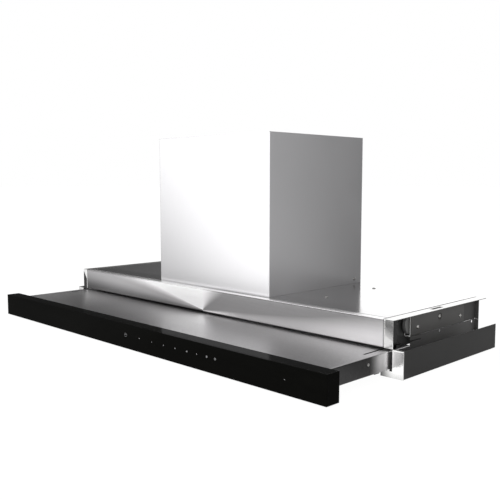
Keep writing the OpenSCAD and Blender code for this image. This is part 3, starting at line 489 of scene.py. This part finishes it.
def plated(name, level=0.72, rough=0.24):
    """Zinc plated small parts with turning marks."""
    f = material(name)
    grain = f.noise(1500.0)
    cloud = f.noise(160.0, 2.0, 0.5, 6.0)
    return f.surface(Base_Color=f.scaled((1.0, 0.99, 0.96), cloud.swing(0.3) + level), Metallic=1.0,
                     Roughness=cloud.swing(0.3) + rough,
                     Normal=f.bump(grain, 0.15, 0.0001, 0.0003))


def aluminium(name, level=0.68, rough=0.34):
    """Rolled aluminium with faint lines along X."""
    f = material(name)
    line = f.noise((60.0, 1800.0, 1800.0))
    cloud = f.noise(12.0, 4.0, 0.6, 8.0)
    return f.surface(Base_Color=f.scaled((0.985, 0.992, 1.0), line.swing(0.12) + cloud.swing(0.12) + level),
                     Metallic=1.0, Roughness=cloud.swing(0.2) + line.swing(0.1) + rough,
                     Normal=f.brushed(f.soft_edges(0.0004), (0.0, 1.0, 1.0), line.swing(0.25)))


# Plastics, rubber and glass

def black_glass(name):
    """Opaque black glass: a deep even black, with faint wipe marks in its gloss and ground edges."""
    f = material(name)
    wipe = f.noise((14.0, 14.0, 60.0), 4.0, 0.6)
    speck = f.noise(1100.0, 1.0, 0.5, 2.0)
    wave = f.noise(9.0, 1.0, 0.5, 5.0)
    black = f.scaled((0.0036, 0.0036, 0.0032), wipe.swing(0.5) + speck.swing(0.3) + 1.0)
    return f.surface(Base_Color=black, Metallic=0.0, Roughness=wipe.swing(0.10) + 0.10,
                     Specular_IOR_Level=0.004, Normal=f.bump(wave, 0.04, 0.0004, 0.0004))


def moulded(name, colour, rough=0.45, gloss=0.35, scale=1400.0, strength=0.35):
    """Moulded plastic with a fine spark-eroded texture, scale pits to the metre."""
    f = material(name)
    pit = f.cells(scale)
    cloud = f.noise(30.0, 3.0, 0.6)
    return f.surface(Base_Color=f.scaled(colour, cloud.swing(0.4) + pit.swing(0.15) + 1.0), Metallic=0.0,
                     Roughness=cloud.swing(0.2) + (pit - 0.4) * 0.1 + rough, Specular_IOR_Level=gloss,
                     Normal=f.bump(pit, strength, 0.00008, 0.0004))


def housing_coat(name):
    """Smooth black coat on the panel's housing: dark to look at, glossy at a low angle."""
    f = material(name)
    cloud = f.noise(20.0, 3.0, 0.6)
    grain = f.noise(1600.0, 1.0, 0.5, 2.0)
    return f.surface(Base_Color=f.scaled((0.0030, 0.0030, 0.0027), cloud.swing(0.5) + 1.0), Metallic=0.0,
                     Roughness=cloud.swing(0.08) + 0.12, Specular_IOR_Level=0.006,
                     Normal=f.bump(grain, 0.05, 0.0001, 0.0006))


def circuit_board(name):
    """Green board with paler tracks and a slight gloss."""
    f = material(name)
    track = f.level_of(f.cells(420.0, output="Color"))
    line = f.cells(260.0, "DISTANCE_TO_EDGE").below(0.06)
    cloud = f.noise(40.0, 3.0)
    green = f.blend((0.012, 0.075, 0.030), (0.030, 0.140, 0.055), track * 0.6)
    return f.surface(Base_Color=f.blend(green, (0.25, 0.22, 0.10), line * 0.35), Metallic=0.0,
                     Roughness=cloud.swing(0.2) + 0.35)


def frosted_lens(name):
    """Frosted lamp glass with fine prisms."""
    f = material(name)
    prism = f.cells(520.0)
    cloud = f.noise(60.0)
    return f.surface(Base_Color=f.scaled((0.93, 0.93, 0.90), prism.swing(0.1) + 1.0), Metallic=0.0,
                     Roughness=cloud.swing(0.1) + 0.38, Specular_IOR_Level=0.5,
                     Normal=f.bump(prism, 0.5, 0.0004))


def symbol_ink(name):
    """Pale print under the glass, slightly uneven."""
    f = material(name)
    speck = f.noise(2500.0)
    cloud = f.noise(90.0, 2.0, 0.5, 3.0)
    pale = f.scaled((0.30, 0.30, 0.305), speck.swing(0.4) + cloud.swing(0.3) + 1.0)
    return f.surface(Base_Color=pale, Metallic=0.0, Roughness=cloud.swing(0.1) + 0.35,
                     Specular_IOR_Level=0.1)


dress(tray_steel("tray_steel"), "tray_top")
dress(top_steel("top_steel"), "top_panel")
dress(rail_steel("rail_steel"), "front_rail")
dress(corner_steel("corner_steel"), *both("corner"))
dress(chimney_steel("chimney_steel"), "chimney_wrap", "chimney_top")
dress(dark_sheet("hanger_steel", (0.20, 0.20, 0.198), rough=0.30, metallic=0.75), *both("hanger"))
dress(channel_sheet("channel_sheet"), *both("side_channel"))
# The track's cut front end is painted pale and matt, a painted highlight
dress(dark_sheet("track_sheet", (0.075, 0.074, 0.072), bare_and_lit=track_end_highlight, bare_and_lit_colour=(0.92, 0.92, 0.91),
                 shine=0.0), *both("roller_track"))
dress(dark_sheet("flange_sheet", (0.115, 0.113, 0.110), bare_and_lit=flange_top), *both("side_bracket"))
dress(dark_sheet("bracket_sheet", (0.16, 0.16, 0.158)), "motor_mount", "blower_feet")
dress(galvanised_sheet("zinc_sheet"), "back_panel", "rear_frame", "filter_seat", "chimney_back",
      "scroll_wrap", *both("scroll_side"))
dress(galvanised_sheet("pan_sheet", dark=pan_side_shade), "tray_pan")
dress(galvanised_sheet("motor_case", level=0.42), "motor")
dress(plated("dull_plate", level=0.34, rough=0.34), "top_screws", "tray_rivets")
dress(plated("zinc_plate"), "side_screws", "roller_pins", "touch_pads")
dress(plated("ground_shaft", level=0.75, rough=0.15), "motor_shaft")
dress(aluminium("filter_frame"), *both("filter_rim"), "capacitor")
dress(plated("lamp_ring", level=0.70, rough=0.2), "lamp_bodies")
dress(frosted_lens("lamp_glass"), "lamp_lenses")
dress(black_glass("panel_glass"), "front_glass")
dress(housing_coat("panel_coat"), "panel_housing", "panel_ends")
dress(moulded("black_moulding", (0.018, 0.018, 0.019)), "front_glides", "control_box", "outlet_collar",
      "cable_gland", *both("filter_latch"))
dress(moulded("grey_nylon", (0.05, 0.05, 0.052), rough=0.4, gloss=0.4, scale=900.0), "outlet_duct",
      "impeller", "flap_front", "flap_rear")
dress(moulded("pale_nylon", (0.17, 0.17, 0.168), rough=0.35, gloss=0.5, scale=900.0),
      *[f"{roller}_{end}" for roller in both("roller") for end in ("front", "rear")])
dress(moulded("soft_rubber", (0.016, 0.016, 0.016), rough=0.65, gloss=0.25, scale=700.0, strength=0.5),
      "tray_pads", "panel_bumpers")
dress(circuit_board("circuit_board"), "control_board", "touch_board")


# New pieces

def piece(name, points, faces, finish, body):
    """Makes a mesh object from arrays and lets it ride on a body."""
    mesh = bpy.data.meshes.new(name)
    mesh.from_pydata(points.tolist(), [], faces.tolist())
    mesh.update()
    thing = bpy.data.objects.new(name, mesh)
    bpy.context.scene.collection.objects.link(thing)
    mesh.materials.append(finish)
    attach(thing, body)
    return thing


def joined(parts):
    """Stacks several lists of points and faces into one."""
    points, faces, start = [], [], 0
    for p, q in parts:
        points.append(p)
        faces.append(q + start)
        start += len(p)
    return np.concatenate(points), np.concatenate(faces)


# Expanded mesh: a strand's width and thickness, and the pitch of its zigzag and of the rows
STRAND_WIDE, STRAND_THICK = 0.0011, 0.0005
PITCH_X, PITCH_Y = 0.010, 0.0042


def strands(x0, x1, y0, y1, z, shift):
    """Expanded sheet: each strand is a flat bar that zigzags along X and meets its neighbours at its peaks.

    The middle line of strand j at step i is (x0 + i * step, y0 + (j + 0.5 + 0.42 * s) * row), where step is
    half of PITCH_X and row is PITCH_Y, both stretched to fill the sheet, and s is +1 and -1 by turns. Four
    points round it make the bar, which rises and falls with s by 0.6 of its thickness.
    """
    n = max(2, 2 * round((x1 - x0) / PITCH_X))
    rows = max(1, int((y1 - y0) / PITCH_Y))
    i, j = np.meshgrid(np.arange(n + 1), np.arange(rows), indexing="ij")
    sign = np.where((i + j + shift) % 2 == 0, 1.0, -1.0)
    x = x0 + (x1 - x0) * i / n
    y = y0 + (y1 - y0) / rows * (j + 0.5 + 0.42 * sign)
    lean = sign * STRAND_THICK * 0.6
    ring = np.array([[-1, -1], [1, -1], [1, 1], [-1, 1]]) * (STRAND_WIDE / 2, STRAND_THICK / 2)
    points = np.stack([np.repeat(x[..., None], 4, -1), y[..., None] + ring[:, 0],
                       z + lean[..., None] + ring[:, 1]], -1)
    index = np.arange(points[..., 0].size).reshape(n + 1, rows, 4)
    a, b = index[:-1], index[1:]
    sides = np.stack([a, np.roll(a, -1, -1), np.roll(b, -1, -1), b], -1).reshape(-1, 4)
    ends = np.concatenate([index[0][:, ::-1], index[-1]])
    return points.reshape(-1, 3), np.concatenate([sides, ends])


def filter_mesh(side, finish):
    """Two layers of expanded aluminium between the rim's lips, cut out round the latch."""
    lo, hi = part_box(f"filter_mesh_{side}")
    latch_lo, latch_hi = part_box(f"filter_latch_{side}")
    gap, inset, behind_latch = 0.0006, 0.0016, 0.005
    cut_y = latch_hi.y + behind_latch
    areas = ((lo.x, latch_lo.x - gap, lo.y, cut_y), (latch_hi.x + gap, hi.x, lo.y, cut_y),
             (lo.x, hi.x, cut_y, hi.y))
    layers = ((lo.z + inset, 0), (hi.z - inset, 1))
    points, faces = joined([strands(x0 + gap, x1 - gap, y0 + gap, y1 - gap, z, shift)
                            for z, shift in layers for x0, x1, y0, y1 in areas])
    mesh = piece(f"expanded_mesh_{side}", points, faces, finish, f"filter_{side}")
    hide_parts(f"filter_mesh_{side}")


wire = aluminium("mesh_aluminium", level=0.62, rough=0.38)
for side in SIDES:
    filter_mesh(side, wire)


def stroke(points, wide):
    """A flat band of one width along a line of (x, z) points, on the plane y = 0.

    Each point gives two of the band's, half the width to either side, square to the run from the point
    before it to the one after.
    """
    p = np.asarray(points, float)
    ahead = np.vstack([p[1:], 2 * p[-1] - p[-2]])
    behind = np.vstack([2 * p[0] - p[1], p[:-1]])
    run = ahead - behind
    run /= np.linalg.norm(run, axis=1, keepdims=True)
    side = np.stack([-run[:, 1], run[:, 0]], 1) * wide / 2
    rim = np.concatenate([p + side, p - side])
    n = len(p)
    i = np.arange(n - 1)
    j = i + 1
    return np.stack([rim[:, 0], np.zeros(len(rim)), rim[:, 1]], 1), np.stack([i, i + n, j + n, j], 1)


def arc(radius, start, end, n=28):
    """Points on a circle about the origin, angles in degrees."""
    a = np.radians(np.linspace(start, end, n))
    return np.stack([radius * np.cos(a), radius * np.sin(a)], 1)


# The touch symbols from left to right: kind, place along X, and half its height
SYMBOLS = [("timer", 0.0001, 0.0030), ("less", 0.0404, 0.0017), ("1", 0.0753, 0.0017),
           ("2", 0.1069, 0.0017), ("3", 0.1373, 0.0017), ("4", 0.1667, 0.0017),
           ("more", 0.1909, 0.0017), ("light", 0.2144, 0.0019), ("power", 0.2335, 0.0019)]

# Width of a symbol's strokes as a share of half its height
STROKE_WIDE = {"timer": 0.13, "less": 0.70, "1": 0.60, "2": 0.42}
USUAL_STROKE = 0.34

# The dash at the far right: place along X, half its length and its width
DASH_X, DASH_HALF, DASH_WIDE = 0.3754, 0.0012, 0.0006


def symbol(kind, r):
    """One touch symbol of plain strokes about the origin, about 2 r high.

    The speeds 1 to 4 are that many upright bars, each taller than the last.
    """
    if kind == "timer":
        lines = [arc(r, 0, 348), [(0, 0), (0, 0.62 * r)], [(0, 0), (0.45 * r, 0)]]
    elif kind == "light":
        turns = np.arange(8) * np.pi / 4
        rays = [[(0.72 * r * c, 0.72 * r * s), (r * c, r * s)]
                for c, s in zip(np.cos(turns), np.sin(turns))]
        lines = [arc(0.45 * r, 0, 348)] + rays
    elif kind == "power":
        lines = [arc(0.85 * r, 122, 418), [(0, 0.3 * r), (0, r)]]
    elif kind == "less":
        lines = [[(-0.7 * r, 0), (0.7 * r, 0)]]
    elif kind == "more":
        lines = [[(-0.7 * r, 0), (0.7 * r, 0)], [(0, -0.7 * r), (0, 0.7 * r)]]
    else:
        bars = int(kind)
        places = [(k - (bars - 1) / 2) * 0.55 * r for k in range(bars)]
        lines = [[(x, -0.8 * r), (x, (0.1 + 0.25 * k) * r)] for k, x in enumerate(places)]
    return [stroke(line, STROKE_WIDE.get(kind, USUAL_STROKE) * r) for line in lines]


def touch_symbols():
    """The row of symbols, a hair in front of the glass, and a small dash at the far right."""
    hair = 0.00002
    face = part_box("front_glass")[0].y - hair
    row_z, dash_z = rail_foot - 0.0178, rail_foot - 0.0204
    parts = []
    for kind, x, r in SYMBOLS:
        for points, faces in symbol(kind, r):
            parts.append((points + (x, face, row_z), faces))
    dash, faces = stroke([(-DASH_HALF, 0), (DASH_HALF, 0)], DASH_WIDE)
    parts.append((dash + (DASH_X, face, dash_z), faces))
    points, faces = joined(parts)
    piece("touch_symbols", points, faces, symbol_ink("symbol_ink"), "tray")


touch_symbols()


# Studio: pale floor, white backdrop, a soft lamp overhead

# Brightness of the studio's walls by degrees from +Y towards -X
WALLS = [(-180, 1.4), (-137, 1.5), (-104, 1.4), (-92, 0.45), (-46, 0.56), (-34, 0.16), (-20, 0.35),
         (-3, 1.5), (37, 1.7), (42, 1.0), (47, 0.12), (60, 0.07), (76, 0.12), (100, 0.6), (125, 1.30),
         (137, 1.9), (160, 1.9), (180, 1.4)]
BRIGHTEST = 2.0


def studio_walls(f, x, y):
    """Brightness of the studio's walls towards (x, y), straight from one entry of WALLS to the next."""
    angle = f.node("ShaderNodeMath", {"operation": "ARCTAN2"}, {0: x * -1.0, 1: y})
    turn = angle / (2 * math.pi) + 0.5
    stops = [((degrees + 180) / 360, level / BRIGHTEST) for degrees, level in WALLS]
    ring = f.node("ShaderNodeValToRGB", {"stops": stops}, {0: turn})
    return f.level_of(ring) * BRIGHTEST


def studio_world():
    """White to the camera; to everything else a ring of soft walls under a pale ceiling."""
    world = bpy.data.worlds.new("studio")
    bpy.context.scene.world = world
    f = Finish(world)
    x, y, z = f.axes(f.node("ShaderNodeTexCoord", output="Generated"))
    walls = studio_walls(f, x, y)
    up = z.ramp(0.50, 0.90)
    light = walls * (1.0 - up) + up * 0.85
    grey = f.node("ShaderNodeCombineColor", None, {0: light, 1: light, 2: light})
    to_camera = f.node("ShaderNodeLightPath", output="Is Camera Ray")
    colour = f.blend(grey, (1.0, 1.0, 1.0), to_camera)
    shine = f.node("ShaderNodeBackground", None, {"Color": colour, "Strength": 1.0})
    f.node("ShaderNodeOutputWorld", None, {"Surface": shine})


def floor_finish():
    """Pale floor: near white with a faint shadow to the camera; metal sees the studio's walls in it, with a
    painted shadow that dims them near the hood.
    """
    f = material("studio_floor")
    x, y, _ = f.axes()
    far = f.vector("LENGTH", f.place(), output="Value")
    # Painted shadow: the walls seen in the floor are dimmed near the hood, less so out to 3 metres
    walls = studio_walls(f, x, y) * far.ramp(0.3, 3.0, 0.85, 1.0)
    grain = f.noise(60.0, 3.0)
    pale = f.scaled((0.82, 0.82, 0.82), grain.swing(0.04) + 1.0)
    matt = f.node("ShaderNodeBsdfDiffuse", None, {"Color": pale})
    grey = f.node("ShaderNodeCombineColor", None, {0: walls, 1: walls, 2: walls})
    mirrored = f.node("ShaderNodeEmission", None, {"Color": grey, "Strength": 1.0})
    white = f.node("ShaderNodeEmission", None, {"Color": (1.0, 1.0, 1.0), "Strength": 1.06})
    clear = f.node("ShaderNodeBsdfTransparent")
    to_camera = f.node("ShaderNodeLightPath", output="Is Camera Ray")
    gloss = f.node("ShaderNodeLightPath", output="Is Glossy Ray")
    through = f.node("ShaderNodeLightPath", output="Is Transmission Ray")
    under = f.node("ShaderNodeNewGeometry", output="Backfacing")
    lit = f.node("ShaderNodeMixShader", None, {0: to_camera * 0.90, 1: matt, 2: white})
    seen = f.node("ShaderNodeMixShader", None, {0: gloss.most(through), 1: lit, 2: mirrored})
    shader = f.node("ShaderNodeMixShader", None, {0: under, 1: seen, 2: clear})
    f.node("ShaderNodeOutputMaterial", None, {"Surface": shader})
    f.owner.cycles.emission_sampling = "NONE"
    return f.owner


def floor():
    """A level square, a hair under the hood's feet."""
    half, level = 30.0, -0.0005
    corners = [(-half, -half, 0.0), (half, -half, 0.0), (half, half, 0.0), (-half, half, 0.0)]
    mesh = bpy.data.meshes.new("floor")
    mesh.from_pydata(corners, [], [(0, 1, 2, 3)])
    mesh.materials.append(floor_finish())
    ground = bpy.data.objects.new("floor", mesh)
    bpy.context.scene.collection.objects.link(ground)
    ground.location.z = level


def soft_lamp(name, power, size, place, aim):
    """A square lamp that faces a point."""
    light = bpy.data.lights.new(name, "AREA")
    light.energy = power
    light.shape = "SQUARE"
    light.size = size
    lamp = bpy.data.objects.new(name, light)
    bpy.context.scene.collection.objects.link(lamp)
    lamp.location = place
    lamp.rotation_euler = (Vector(aim) - Vector(place)).to_track_quat("-Z", "Y").to_euler()


def camera():
    """The photograph's viewpoint, fitted to the hood's straight edges; angles in degrees."""
    turn, down, roll = 45.28, 5.641, 0.031
    place = (1.0013, -0.9206, rail_foot + 0.2489)
    data = bpy.data.cameras.new("camera")
    data.lens = 50.12
    data.sensor_width = 36.0
    data.sensor_fit = "HORIZONTAL"
    data.clip_start = 0.01
    data.clip_end = 100.0
    view = bpy.data.objects.new("camera", data)
    bpy.context.scene.collection.objects.link(view)
    aim = Euler((math.radians(90.0 - down), 0.0, math.radians(turn))).to_matrix()
    aim = aim @ Matrix.Rotation(math.radians(roll), 3, "Z")
    view.matrix_world = Matrix.Translation(place) @ aim.to_4x4()
    bpy.context.scene.camera = view


bpy.context.scene.view_settings.view_transform = "Standard"
studio_world()
floor()
soft_lamp("ceiling_lamp", power=18.0, size=2.0, place=(-0.6, -0.9, 2.2), aim=(0.0, 0.0, 0.1))
camera()
